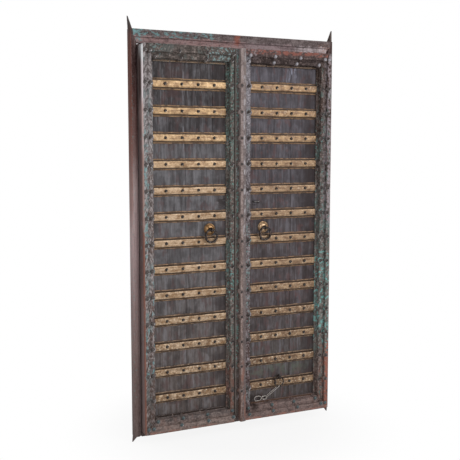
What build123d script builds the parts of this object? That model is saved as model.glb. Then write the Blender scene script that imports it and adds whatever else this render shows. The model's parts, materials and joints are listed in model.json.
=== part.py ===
from build123d import *
import os

# Frame timbers, in millimetres
frame_width = 1180.0
frame_height = 2110.0
frame_depth = 50.0
jamb_band = 27.0  # raised outer band of a jamb's face
jamb_lip = 10.0  # set-back inner band of a jamb's face
head_band = 38.0
head_lip = 29.0
lip_recess = 10.0  # how far the inner bands are set back
band_bevel = 4.0  # slope between the two bands
sill_height = 18.0
horn_width = 14.0
horn_depth = 34.0
horn_tip_width = 4.0
horn_tip_depth = 8.0
horn_lean = 8.0  # outward lean of a horn at its tip
top_horn = 63.0
bottom_horn = 30.0

# Leaves and the gaps around them
hang_gap = 3.0
head_gap = 8.0
sill_gap = 4.0
meeting_offset = 32.0  # the meeting line lies this far left of the middle
meeting_gap = 5.0
meeting_relief = 3.0  # border boards stand back from the planks' meeting edges
plank_thickness = 24.0
plank_lead = 6.0  # plank faces stand this far ahead of the frame's face
plank_gap = 0.4
plank_bevel = 2.0
left_joint_shares = (0.485, 0.786)  # plank joints, from the hanging edge
right_joint_shares = (0.388,)

# Pivot posts and pins
post_width = 50.0
pivot_setback = 25.0  # frame face to the pivot axis
pin_diameter = 18.0
pin_clearance = 0.3
top_pin = 40.0
bottom_pin = 14.0

# Carved border: lower boards with a thin foot, and the raised layer on them
border_thickness = 39.0
foot_thickness = 10.0
foot_reach = 14.0
hanging_stile_width = 56.0
meeting_stile_reach = 59.0  # inner edges of the meeting stiles, from the middle
rail_height = 69.0
board_gap = 0.3
strip_thickness = 16.0
strip_width = 23.0
rail_strip_height = 38.0
strip_end_relief = 5.0
lobe_radius = 16.0
lobe_reach = 9.0
meeting_lobe_radius = 18.5
meeting_lobe_reach = 8.0
strip_lobe_radius = 14.0
strip_lobe_reach = 8.0
rail_lobe_count = 3
rail_lobe_inset = 196.0  # first lobe on a rail, from the middle
board_lobe_pitch = 140.0
rail_strip_pitch = 155.0

# Astragal on the right leaf
astragal_left = 11.0  # left of the middle
astragal_right = 20.0  # right of the middle
astragal_thickness = 28.0
astragal_lobe_radius = 14.0
astragal_lobe_reach = 11.0

# Brass-clad straps
strap_count = 13
strap_foot_margin = 176.0  # leaf's foot to the middle of the lowest strap
strap_top_margin = 193.0  # leaf's top to the middle of the highest strap
strap_width = 60.0
strap_face = 34.0
strap_flange = 6.0
strap_thickness = 12.0
flange_thickness = 2.0
strap_end_gap = 0.5

# Nails through the straps and studs on the border
nails_per_strap = 4
nail_pitch = 91.0
nail_head = 13.0
nail_height = 5.0
nail_crown_share = 0.45
stud_head = 22.0
stud_height = 7.0
stud_crown_share = 0.5
stud_sides = 6

# Ring pulls
pull_inset = 160.0  # boss centre from the middle
pull_shift = 5.0  # both bosses sit this far to the left
boss_radius_share = 0.83  # of half the space between two straps
boss_strap_gap = 2.0
boss_height = 14.0
boss_rim = 3.0
boss_crown_radius = 13.0
boss_shoulder_share = 0.72
boss_shoulder_radius_share = 0.66
ring_radius = 33.0
ring_wire = 11.0
ring_sides = 24
eye_stand = 27.0  # plank face to the middle of an eye's hole
eye_hole = 13.0
eye_wire = 6.0
eye_sides = 12
eye_shank = 8.0
seat_clearance = 0.3
chamfer_share = 0.29  # of a wire's width, giving the wire eight sides
corner_share = 1.083  # a wire's corners, against half its width

# Latch staple
latch_inset = 113.0
latch_rise_share = 1.5  # of the strap pitch, above the middle strap
latch_span = 36.0
latch_stand = 16.0
latch_wire = 6.0

# Chain hasp
chain_inset = 247.0
chain_rise = 38.0  # eye above the lowest strap
chain_ring_radius = 27.5
chain_ring_wire = 7.0
link_wire = 4.0
link_half_width = 7.0  # to the middle of the wire
link_run = 75.0  # across from the ring's foot to the hasp's eye
link_clearance = 0.3
hasp_clearance = 1.6
eight_wire = 5.0
eight_stand = 7.6  # plank face to the middle of the hasp, on the rail's foot
eight_small_radius = 9.5
eight_large_radius = 13.5
eight_length = 58.0  # between the middles of its two eyes
eight_waist = 9.0

overrun = 2.0

# Places worked out from the sizes above
half_width = frame_width / 2
frame_front = -frame_depth / 2
frame_back = frame_depth / 2
opening_half = half_width - jamb_band - jamb_lip
head_under = frame_height - head_band - head_lip
leaf_edge = opening_half - hang_gap
leaf_top = head_under - head_gap
leaf_bottom = sill_height + sill_gap
leaf_heights = (leaf_bottom, leaf_top)
plank_front = frame_front - plank_lead
plank_back = plank_front + plank_thickness
foot_front = plank_front - foot_thickness
board_front = plank_front - border_thickness
strip_front = board_front - strip_thickness
strap_front = plank_front - strap_thickness
pivot_y = frame_front + pivot_setback
post_radius = post_width / 2
pivot_x = leaf_edge - post_radius
stile_edge = leaf_edge - hanging_stile_width
strip_edge = leaf_edge - strip_width
panel_outer = stile_edge - foot_reach
panel_inner = meeting_stile_reach + foot_reach
left_meeting = -meeting_offset - meeting_gap / 2
right_meeting = -meeting_offset + meeting_gap / 2
lowest_strap = leaf_bottom + strap_foot_margin
highest_strap = leaf_top - strap_top_margin
strap_pitch = (highest_strap - lowest_strap) / (strap_count - 1)
strap_heights = [lowest_strap + strap_pitch * i for i in range(strap_count)]
middle_strap = strap_heights[strap_count // 2]

# Columns and rows of studs, each at the middle of a lobe
hanging_column = stile_edge - lobe_reach + lobe_radius
meeting_column = meeting_stile_reach + meeting_lobe_reach - meeting_lobe_radius
strip_column = strip_edge - strip_lobe_reach + strip_lobe_radius
astragal_column = -astragal_left - astragal_lobe_reach + astragal_lobe_radius
board_row = rail_height + lobe_reach - lobe_radius
strip_row = rail_strip_height + strip_lobe_reach - strip_lobe_radius
board_columns = [rail_lobe_inset + board_lobe_pitch * i for i in range(rail_lobe_count)]
strip_columns = [rail_lobe_inset + rail_strip_pitch * i for i in range(rail_lobe_count)]


def wire_corner(wire):
    return corner_share * wire / 2


def ring_drop(wire):
    # how far a ring's wire hangs below the middle of its eye's hole
    return eye_hole / 2 - wire_corner(wire) - seat_clearance


# Axes of the rings and of the chain's links
eye_y = plank_front - eye_stand
boss_radius = boss_radius_share * (strap_pitch - strap_width) / 2
pull_z = middle_strap + strap_width / 2 + boss_strap_gap + boss_radius
pull_axis_z = pull_z - ring_drop(ring_wire)
chain_eye_z = lowest_strap + chain_rise
chain_axis_z = chain_eye_z - ring_drop(chain_ring_wire)
link_axis_z = chain_axis_z - 2 * chain_ring_radius
link_rise = wire_corner(chain_ring_wire) + wire_corner(link_wire) + link_clearance
link_top_z = link_axis_z + link_rise
link_foot_z = leaf_bottom + rail_height + foot_reach + eight_large_radius + link_clearance
link_fall = link_top_z - link_foot_z
eight_y = plank_front - eight_stand
link_top_y = eight_y + (eye_y - eight_y) * link_fall / (link_fall - link_rise)
link_top = Vector(chain_inset, link_top_y, link_top_z)
link_foot = Vector(chain_inset - link_run, eight_y, link_foot_z)
link_length = (link_top - link_foot).length

os.makedirs("parts", exist_ok=True)


def write(shape, node):
    export_step(shape, f"parts/{node}.step")


def joined(shapes):
    whole = shapes[0]
    for shape in shapes[1:]:
        whole = whole + shape
    return whole


def block(x_pair, y_pair, z_pair):
    # a box between two values on each axis, in either order
    pairs = (x_pair, y_pair, z_pair)
    sizes = [abs(b - a) for a, b in pairs]
    middles = [(a + b) / 2 for a, b in pairs]
    return Pos(*middles) * Box(*sizes)


def rectangle(x_pair, z_pair):
    width = abs(x_pair[1] - x_pair[0])
    height = abs(z_pair[1] - z_pair[0])
    return Pos(sum(x_pair) / 2, sum(z_pair) / 2) * Rectangle(width, height)


def lobed(outline, places, radius):
    # an outline drawn in X and Z with discs added along its edge
    return joined([outline] + [Pos(x, z) * Circle(radius) for x, z in places])


def front_slab(outline, back_y, thickness):
    # an outline drawn in X and Z, standing forward of back_y
    return extrude(Plane.XZ.offset(-back_y) * outline, amount=thickness, dir=(0, -1, 0))


def upright_pin(x, bottom, length, radius):
    standing = (Align.CENTER, Align.CENTER, Align.MIN)
    return Pos(x, pivot_y, bottom) * Cylinder(radius, length, align=standing)


# Frame
def horn(z, rise):
    # a tapered spike on the left jamb's outer edge, leaning outwards
    base_x = -half_width + horn_width / 2
    tip_x = -half_width - horn_lean + horn_tip_width / 2
    base = Pos(base_x, 0, z) * Rectangle(horn_width, horn_depth)
    tip = Pos(tip_x, 0, z + rise) * Rectangle(horn_tip_width, horn_tip_depth)
    return loft([base, tip])


def mitre_height(inset):
    # height of the mitre at a distance in from the frame's outer edge
    return frame_height - inset * (head_band + head_lip) / (jamb_band + jamb_lip)


def left_jamb():
    horn_side = -half_width + horn_width
    profile = Polygon(
        (-half_width, frame_front),
        (-half_width + jamb_band, frame_front),
        (-half_width + jamb_band + band_bevel, frame_front + lip_recess),
        (-opening_half, frame_front + lip_recess),
        (-opening_half, frame_back),
        (-half_width, frame_back),
        align=None,
    )
    outline = Polygon(
        (-half_width, 0),
        (-half_width, frame_height),
        (horn_side, frame_height),
        (horn_side, mitre_height(horn_width)),
        (-opening_half, head_under),
        (-opening_half, 0),
        align=None,
    )
    post = extrude(profile, amount=frame_height, dir=(0, 0, 1))
    post = post & front_slab(outline, frame_back, frame_depth)
    return joined([post, horn(frame_height, top_horn), horn(0, -bottom_horn)])


def head():
    horn_side = half_width - horn_width
    profile = Polygon(
        (frame_front, frame_height),
        (frame_front, frame_height - head_band),
        (frame_front + lip_recess, frame_height - head_band - band_bevel),
        (frame_front + lip_recess, head_under),
        (frame_back, head_under),
        (frame_back, frame_height),
        align=None,
    )
    outline = Polygon(
        (-horn_side, frame_height),
        (horn_side, frame_height),
        (horn_side, mitre_height(horn_width)),
        (opening_half, head_under),
        (-opening_half, head_under),
        (-horn_side, mitre_height(horn_width)),
        align=None,
    )
    beam = extrude(Plane.YZ * profile, amount=half_width, both=True)
    beam = beam & front_slab(outline, frame_back, frame_depth)
    for x in (-pivot_x, pivot_x):
        beam = beam - upright_pin(x, head_under, top_pin + pin_clearance, pin_diameter / 2 + pin_clearance)
    return beam


def sill():
    board = block((-opening_half, opening_half), (frame_front, frame_back), (0, sill_height))
    socket_floor = sill_height - bottom_pin
    for x in (-pivot_x, pivot_x):
        board = board - upright_pin(x, socket_floor, bottom_pin + overrun, pin_diameter / 2 + pin_clearance)
    return board


# Planks: bevelled boards, and the hanging plank with its pivot post and pins
def plank(x_pair):
    low = min(x_pair)
    high = max(x_pair)
    profile = Polygon(
        (low, plank_back),
        (low, plank_front + plank_bevel),
        (low + plank_bevel, plank_front),
        (high - plank_bevel, plank_front),
        (high, plank_front + plank_bevel),
        (high, plank_back),
        align=None,
    )
    return extrude(Pos(0, 0, leaf_bottom) * profile, amount=leaf_top - leaf_bottom, dir=(0, 0, 1))


def hanging_plank(side, inner_x):
    axis_x = side * pivot_x
    outer_x = side * leaf_edge
    post_x = axis_x - side * post_radius
    foot_length = sill_gap + bottom_pin - pin_clearance
    pieces = [
        plank((outer_x - side * post_radius, inner_x)),
        block((outer_x, post_x), (plank_front, pivot_y), leaf_heights),
        block((axis_x, post_x), (pivot_y, pivot_y + post_radius), leaf_heights),
        upright_pin(axis_x, leaf_bottom, leaf_top - leaf_bottom, post_radius),
        upright_pin(axis_x, leaf_top, head_gap + top_pin, pin_diameter / 2),
        upright_pin(axis_x, leaf_bottom - foot_length, foot_length, pin_diameter / 2),
    ]
    return joined(pieces)


def write_planks(leaf, side, meeting, joint_shares):
    width = abs(side * leaf_edge - meeting)
    half_gap = side * plank_gap / 2
    joints = [side * (leaf_edge - share * width) for share in joint_shares]
    write(hanging_plank(side, joints[0] + half_gap), f"{leaf}_hanging_plank")
    inner_edges = [x + half_gap for x in joints[1:]] + [meeting]
    places = ["middle"] * (len(joints) - 1) + ["meeting"]
    for joint, inner_edge, place in zip(joints, inner_edges, places):
        write(plank((joint - half_gap, inner_edge)), f"{leaf}_{place}_plank")


# Carved border
def at_straps(x):
    return [(x, z) for z in strap_heights]


def carved_stile(outer_x, panel_x, lobe_column, radius, foot_x):
    # a full-height board on a thin foot, with half-round lobes on its panel edge
    foot = front_slab(rectangle((outer_x, foot_x), leaf_heights), plank_front, foot_thickness)
    outline = lobed(rectangle((outer_x, panel_x), leaf_heights), at_straps(lobe_column), radius)
    outline = outline & rectangle((outer_x, foot_x), leaf_heights)
    return foot + front_slab(outline, foot_front, border_thickness - foot_thickness)


def hanging_strip(side):
    outline = rectangle((side * leaf_edge, side * strip_edge), leaf_heights)
    outline = lobed(outline, at_straps(side * strip_column), strip_lobe_radius)
    return front_slab(outline, board_front, strip_thickness)


def rail(side, strip_end, edge_z, inward):
    # a stepped rail, drawn from its outer edge; inward is 1 up from the foot, -1 down from the top
    def across(start, end):
        return (side * start, side * end)

    def rising(height):
        return (edge_z, edge_z + inward * height)

    def row(columns, height):
        return [(side * x, edge_z + inward * height) for x in columns]

    foot_span = across(panel_inner + board_gap, panel_outer - board_gap)
    board_span = across(meeting_stile_reach + board_gap, stile_edge - board_gap)
    strip_span = (strip_end, side * (strip_edge - board_gap))
    foot = rectangle(foot_span, rising(rail_height + foot_reach))
    board = lobed(rectangle(board_span, rising(rail_height)), row(board_columns, board_row), lobe_radius)
    strip = rectangle(strip_span, rising(rail_strip_height))
    strip = lobed(strip, row(strip_columns, strip_row), strip_lobe_radius)
    layers = [
        front_slab(foot, plank_front, foot_thickness),
        front_slab(board, foot_front, border_thickness - foot_thickness),
        front_slab(strip, board_front, strip_thickness),
    ]
    return joined(layers)


def astragal():
    outline = rectangle((-astragal_left, astragal_right), leaf_heights)
    outline = lobed(outline, at_straps(astragal_column), astragal_lobe_radius)
    return front_slab(outline, board_front, astragal_thickness)


# Straps and nails
def strap(side, z):
    half = strap_width / 2
    slope_start = half - strap_flange
    half_face = strap_face / 2
    flange_front = plank_front - flange_thickness
    profile = Polygon(
        (plank_front, z - half),
        (flange_front, z - half),
        (flange_front, z - slope_start),
        (strap_front, z - half_face),
        (strap_front, z + half_face),
        (flange_front, z + slope_start),
        (flange_front, z + half),
        (plank_front, z + half),
        align=None,
    )
    start = side * (panel_inner + strap_end_gap)
    length = panel_outer - panel_inner - 2 * strap_end_gap
    return extrude(Plane.YZ.offset(start) * profile, amount=length, dir=(side, 0, 0))


def nail(x, z, seat_y):
    crown = nail_head * nail_crown_share
    base = Plane.XZ.offset(-seat_y) * (Pos(x, z) * Rectangle(nail_head, nail_head))
    top = Plane.XZ.offset(-seat_y + nail_height) * (Pos(x, z) * Rectangle(crown, crown))
    return loft([base, top])


def stud(x, z, seat_y):
    radius = stud_head / 2
    crown = radius * stud_crown_share
    base = Plane.XZ.offset(-seat_y) * (Pos(x, z) * RegularPolygon(radius, stud_sides))
    top = Plane.XZ.offset(-seat_y + stud_height) * (Pos(x, z) * RegularPolygon(crown, stud_sides))
    return loft([base, top])


def leaf_nails(side):
    panel_middle = (panel_outer + panel_inner) / 2
    first = panel_middle - nail_pitch * (nails_per_strap - 1) / 2
    columns = [side * (first + nail_pitch * i) for i in range(nails_per_strap)]
    heads = [nail(x, z, strap_front) for z in strap_heights for x in columns]
    board_places = at_straps(side * hanging_column) + at_straps(side * meeting_column)
    strip_places = at_straps(side * strip_column)
    for edge_z, inward in ((leaf_bottom, 1), (leaf_top, -1)):
        for x in [meeting_column] + board_columns:
            board_places.append((side * x, edge_z + inward * board_row))
        for x in [meeting_column] + strip_columns + [strip_column]:
            strip_places.append((side * x, edge_z + inward * strip_row))
    heads += [stud(x, z, board_front) for x, z in board_places]
    heads += [stud(x, z, strip_front) for x, z in strip_places]
    if side > 0:
        heads += [stud(x, z, board_front - astragal_thickness) for x, z in at_straps(astragal_column)]
    return Compound(children=heads)


# Ironwork
def wire_ring(x, z, radius, wire):
    # a forged ring in the XZ plane, with a flat at its top and its foot
    half_step = 180 / ring_sides
    outer = RegularPolygon(radius + wire / 2, ring_sides, major_radius=False, rotation=half_step)
    inner = RegularPolygon(radius - wire / 2, ring_sides, major_radius=False, rotation=half_step)
    loop = front_slab(Pos(x, z) * (outer - inner), eye_y + wire / 2, wire)
    return chamfer(loop.faces().filter_by(Axis.Y).edges(), wire * chamfer_share)


def boss(x):
    shoulder = boss_rim + (boss_height - boss_rim) * boss_shoulder_share
    shoulder_radius = boss_crown_radius + (boss_radius - boss_crown_radius) * boss_shoulder_radius_share
    hole = eye_shank / 2 + pin_clearance
    profile = Polygon(
        (0, 0),
        (boss_radius, 0),
        (boss_radius, boss_rim),
        (shoulder_radius, shoulder),
        (boss_crown_radius, boss_height),
        (0, boss_height),
        align=None,
    )
    dome = revolve(profile, Axis.Y)
    dome = dome - block((-hole, hole), (-overrun, boss_height + overrun), (-hole, hole))
    return Pos(x, plank_front, pull_z) * Rot(180, 0, 0) * dome


def eye(x, z):
    # an eye standing in the YZ plane on a square shank
    radius = eye_hole / 2 + eye_wire / 2
    half = eye_shank / 2
    outline = RegularPolygon(eye_hole / 2 + eye_wire, eye_sides, major_radius=False)
    outline = outline - RegularPolygon(eye_hole / 2, eye_sides, major_radius=False)
    loop = extrude(Plane.YZ * outline, amount=eye_wire / 2, both=True)
    shank = block((-half, half), (radius, eye_stand), (-half, half))
    return Pos(x, eye_y, z) * (loop + shank)


def latch_staple():
    # a square bow with its two corners taken off
    left = latch_inset - latch_span / 2
    right = left + latch_span
    bow = rectangle((left, right), (0, latch_stand))
    bow = bow - rectangle((left + latch_wire, right - latch_wire), (-overrun, latch_stand - latch_wire))
    bow = chamfer(bow.vertices().sort_by(Axis.Y)[-2:], latch_wire * chamfer_share)
    bow = extrude(bow, amount=latch_wire / 2, both=True)
    return Pos(0, plank_front, middle_strap + latch_rise_share * strap_pitch) * Rot(180, 0, 0) * bow


def long_link():
    # a narrow loop in the plane of its own length and the Y axis
    outer = SlotOverall(link_length + link_wire, 2 * link_half_width + link_wire)
    inner = SlotOverall(link_length - link_wire, 2 * link_half_width - link_wire)
    loop = extrude(outer - inner, amount=link_wire / 2, both=True)
    loop = chamfer(loop.faces().filter_by(Axis.Z).edges(), link_wire * chamfer_share)
    along = link_top - link_foot
    across = along.cross(Vector(0, 1, 0))
    return Plane(origin=(link_top + link_foot) / 2, x_dir=along, z_dir=across) * loop


def eight_link():
    small_hole = eight_small_radius - eight_wire
    large_hole = eight_large_radius - eight_wire
    small_x = link_foot.X - (small_hole - wire_corner(link_wire) - hasp_clearance)
    large_x = small_x - eight_length
    half_waist = eight_waist / 2
    outline = rectangle((small_x, large_x), (link_foot_z - half_waist, link_foot_z + half_waist))
    outline = outline + Pos(small_x, link_foot_z) * Circle(eight_small_radius)
    outline = outline + Pos(large_x, link_foot_z) * Circle(eight_large_radius)
    outline = outline - Pos(small_x, link_foot_z) * Circle(small_hole)
    outline = outline - Pos(large_x, link_foot_z) * Circle(large_hole)
    return front_slab(outline, eight_y + eight_wire / 2, eight_wire)


# The frame
jamb = left_jamb()
write(jamb, "left_jamb")
write(mirror(jamb, about=Plane.YZ), "right_jamb")
write(head(), "head")
write(sill(), "sill")

# The two leaves
leaves = (("left", -1, left_meeting, left_joint_shares), ("right", 1, right_meeting, right_joint_shares))
for leaf, side, meeting, joint_shares in leaves:
    write_planks(leaf, side, meeting, joint_shares)
    lobe_column = side * hanging_column
    foot_edge = side * panel_outer
    hanging_stile = carved_stile(side * leaf_edge, side * stile_edge, lobe_column, lobe_radius, foot_edge)
    write(hanging_stile, f"{leaf}_hanging_stile")
    board_edge = meeting + side * meeting_relief
    meeting_edge = side * meeting_stile_reach
    lobe_column = side * meeting_column
    foot_edge = side * panel_inner
    meeting_stile = carved_stile(board_edge, meeting_edge, lobe_column, meeting_lobe_radius, foot_edge)
    write(meeting_stile, f"{leaf}_meeting_stile")
    write(hanging_strip(side), f"{leaf}_hanging_strip")
    strip_end = board_edge - strip_end_relief if side < 0 else astragal_right + board_gap
    write(rail(side, strip_end, leaf_top, -1), f"{leaf}_top_rail")
    write(rail(side, strip_end, leaf_bottom, 1), f"{leaf}_bottom_rail")
    for number, z in enumerate(reversed(strap_heights), start=1):
        write(strap(side, z), f"{leaf}_strap_{number:02d}")
    write(leaf_nails(side), f"{leaf}_nails")
    pull_x = side * pull_inset - pull_shift
    write(boss(pull_x), f"{leaf}_pull_boss")
    write(wire_ring(pull_x, pull_axis_z - ring_radius, ring_radius, ring_wire), f"{leaf}_pull_ring")
write(astragal(), "right_astragal")

# Eyes, latch staple and chain
write(eye(-pull_inset - pull_shift, pull_z), "left_pull_eye")
right_eyes = [eye(pull_inset - pull_shift, pull_z), eye(chain_inset, chain_eye_z)]
write(Compound(children=right_eyes), "right_eyes")
write(latch_staple(), "right_latch_staple")
chain_ring_z = chain_axis_z - chain_ring_radius
write(wire_ring(chain_inset, chain_ring_z, chain_ring_radius, chain_ring_wire), "chain_ring")
write(long_link(), "chain_long_link")
write(eight_link(), "chain_eight_link")
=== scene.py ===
import bpy
import bmesh
import json
import random
from math import radians
from mathutils import Matrix, Vector


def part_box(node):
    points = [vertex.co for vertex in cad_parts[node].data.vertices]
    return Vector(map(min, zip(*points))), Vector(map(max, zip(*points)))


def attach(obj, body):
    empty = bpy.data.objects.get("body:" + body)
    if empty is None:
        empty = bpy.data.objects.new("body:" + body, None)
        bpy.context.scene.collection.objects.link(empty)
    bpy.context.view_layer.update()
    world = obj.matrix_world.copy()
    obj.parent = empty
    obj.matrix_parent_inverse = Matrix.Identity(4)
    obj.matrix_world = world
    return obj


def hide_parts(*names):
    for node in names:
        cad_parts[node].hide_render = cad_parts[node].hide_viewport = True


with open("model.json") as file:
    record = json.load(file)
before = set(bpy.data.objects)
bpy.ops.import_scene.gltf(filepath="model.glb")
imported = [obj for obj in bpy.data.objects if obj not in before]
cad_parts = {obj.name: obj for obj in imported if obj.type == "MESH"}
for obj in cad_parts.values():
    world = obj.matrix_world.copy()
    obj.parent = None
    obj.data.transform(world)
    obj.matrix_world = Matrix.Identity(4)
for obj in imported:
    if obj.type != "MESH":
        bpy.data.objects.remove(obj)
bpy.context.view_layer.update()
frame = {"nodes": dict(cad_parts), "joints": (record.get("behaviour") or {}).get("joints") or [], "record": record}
bpy.ops.object.select_all(action="DESELECT")
nodes = frame["nodes"]
record = frame["record"]
bodyOf = {node: body for body, members in record["behaviour"]["bodies"].items() for node in members}
slotOf = {part["node"]: part["material_slot"] for part in record["subparts"]}
jointPlace = {joint["name"]: Vector(joint["pos_m"]) for joint in frame["joints"]}
sides = ("left", "right")
strapCount = 13
strapNames = [f"{side}_strap_{number:02d}" for side in sides for number in range(1, strapCount + 1)]
random.seed(11)
print("frame loaded:", len(nodes), "nodes")

# Camera
cameraSet = {"place": (-1.760, -3.806, 1.495), "turn": 24.44, "tilt": 5.78, "lens": 60.34, "sensor": 36.0}
bpy.ops.object.camera_add(location=cameraSet["place"],
                          rotation=(radians(90 - cameraSet["tilt"]), 0, radians(-cameraSet["turn"])))
doorCamera = bpy.context.object
doorCamera.data.lens = cameraSet["lens"]
doorCamera.data.sensor_width = cameraSet["sensor"]
bpy.context.scene.camera = doorCamera
bpy.context.scene.view_settings.view_transform = "Standard"


class Sock:
    def __init__(self, tree, socket):
        self.tree = tree
        self.socket = socket

    def node(self, kind, inputs, output=0, **settings):
        made = self.tree.nodes.new(kind)
        for name, value in settings.items():
            setattr(made, name, value)
        for key, value in inputs.items():
            if isinstance(value, Sock):
                self.tree.links.new(value.socket, made.inputs[key])
            else:
                made.inputs[key].default_value = value
        return Sock(self.tree, made.outputs[output])

    def maths(self, operation, first, second=0.0):
        return self.node("ShaderNodeMath", {0: first, 1: second}, operation=operation)

    def __add__(self, other):
        return self.maths("ADD", self, other)

    def __sub__(self, other):
        return self.maths("SUBTRACT", self, other)

    def __rsub__(self, other):
        return self.maths("SUBTRACT", other, self)

    def __mul__(self, other):
        return self.maths("MULTIPLY", self, other)

    def __truediv__(self, other):
        return self.maths("DIVIDE", self, other)

    def __abs__(self):
        return self.maths("ABSOLUTE", self)


def tone(red, green, blue):
    def linear(value):
        share = value / 255
        return share / 12.92 if share <= 0.04045 else ((share + 0.055) / 1.055) ** 2.4
    return (linear(red), linear(green), linear(blue), 1.0)


def axis(place, name):
    return place.node("ShaderNodeSeparateXYZ", {0: place}, name)


def stretched(place, factors):
    return place.node("ShaderNodeVectorMath", {0: place, 1: factors}, operation="MULTIPLY")


def warped(place, scale, amount):
    swirl = place.node("ShaderNodeTexNoise", {"Vector": place, "Scale": scale, "Detail": 2.0}, "Color")
    swirl = place.node("ShaderNodeVectorMath", {0: swirl, 1: (0.5, 0.5, 0.5)}, operation="SUBTRACT")
    swirl = place.node("ShaderNodeVectorMath", {0: swirl, "Scale": amount}, operation="SCALE")
    return place.node("ShaderNodeVectorMath", {0: place, 1: swirl}, operation="ADD")


def noise(place, scale, detail=3.0, rough=0.55):
    inputs = {"Vector": place, "Scale": scale, "Detail": detail, "Roughness": rough}
    return place.node("ShaderNodeTexNoise", inputs)


def cells(place, scale):
    return place.node("ShaderNodeTexVoronoi", {"Vector": place, "Scale": scale}, "Distance")


def step(value, low, high):
    inputs = {"Value": value, "From Min": low, "From Max": high}
    return value.node("ShaderNodeMapRange", inputs, interpolation_type="SMOOTHSTEP")


def band(value, low, high, soft):
    return step(value, low - soft, low + soft) * (1 - step(value, high - soft, high + soft))


def mixed(share, first, second):
    return share.node("ShaderNodeMix", {0: share, 6: first, 7: second}, 2, data_type="RGBA")


def ladder(value, stops):
    made = value.node("ShaderNodeValToRGB", {0: value})
    ramp = made.socket.node.color_ramp
    ramp.elements[0].position, ramp.elements[0].color = stops[0]
    ramp.elements[1].position, ramp.elements[1].color = stops[-1]
    for position, colour in stops[1:-1]:
        ramp.elements.new(position).color = colour
    return made


def newLook(name):
    look = bpy.data.materials.new(name)
    look.use_nodes = True
    tree = look.node_tree
    place = Sock(tree, tree.nodes.new("ShaderNodeTexCoord").outputs["Object"])
    return look, tree.nodes["Principled BSDF"], place


def plug(shader, **values):
    # links or sets the shader's inputs; underscores stand for spaces in their names
    for key, value in values.items():
        target = shader.inputs[key.replace("_", " ")]
        if isinstance(value, Sock):
            value.tree.links.new(value.socket, target)
        else:
            target.default_value = value


def bumped(height, strength, depth):
    return height.node("ShaderNodeBump", {"Strength": strength, "Distance": depth, "Height": height})


patchSet = {"ragScale": 45.0, "ragReach": 0.04, "soft": 0.02, "depth": 0.001, "cut": (0.45, 0.6)}


def patch(x, z, colour, **more):
    # one area of colour, such as paint, a stain, painted shade or painted light: its reach across and upwards, its
    # colour and how it lies
    return dict(more, x=x, z=z, colour=colour)


def paintZones(place, colour, zones):
    # lays patches over a colour, each with a ragged edge
    rag = (noise(place, patchSet["ragScale"]) - 0.5) * patchSet["ragReach"]
    x = axis(place, "X")
    z = axis(place, "Z")
    for zone in zones:
        soft = zone.get("soft", patchSet["soft"])
        fade = zone.get("fade", soft)
        drift = rag * zone.get("rag", 1.0)
        mask = band(x + drift, *zone["x"], soft) * band(z + drift, *zone["z"], fade)
        if "y" in zone:
            mask = mask * band(axis(place, "Y"), *zone["y"], zone.get("depth", patchSet["depth"]))
        if "grain" in zone:
            flecks = noise(stretched(place, zone.get("stretch", (1, 1, 1))), zone["grain"])
            mask = mask * step(flecks, *zone.get("cut", patchSet["cut"]))
        colour = mixed(mask * zone.get("share", 1.0), colour, zone["colour"])
    return colour


ladderTop = 2.2  # height of the last stop in every ladder of colours
woodSet = {"sway": (4.0, 0.02), "mottle": 58.0, "grit": 125.0, "edge": (0.5, 0.66),
           "carveSway": (26.0, 0.03), "carve": 62.0, "fleck": 90.0, "strokeEdge": (0.5, 0.62),
           "broad": 11.0, "blotch": 30.0, "relief": 0.004}


def even(colour):
    # stops of one colour all the way up
    return [(0.0, colour), (ladderTop, colour)]


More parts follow.
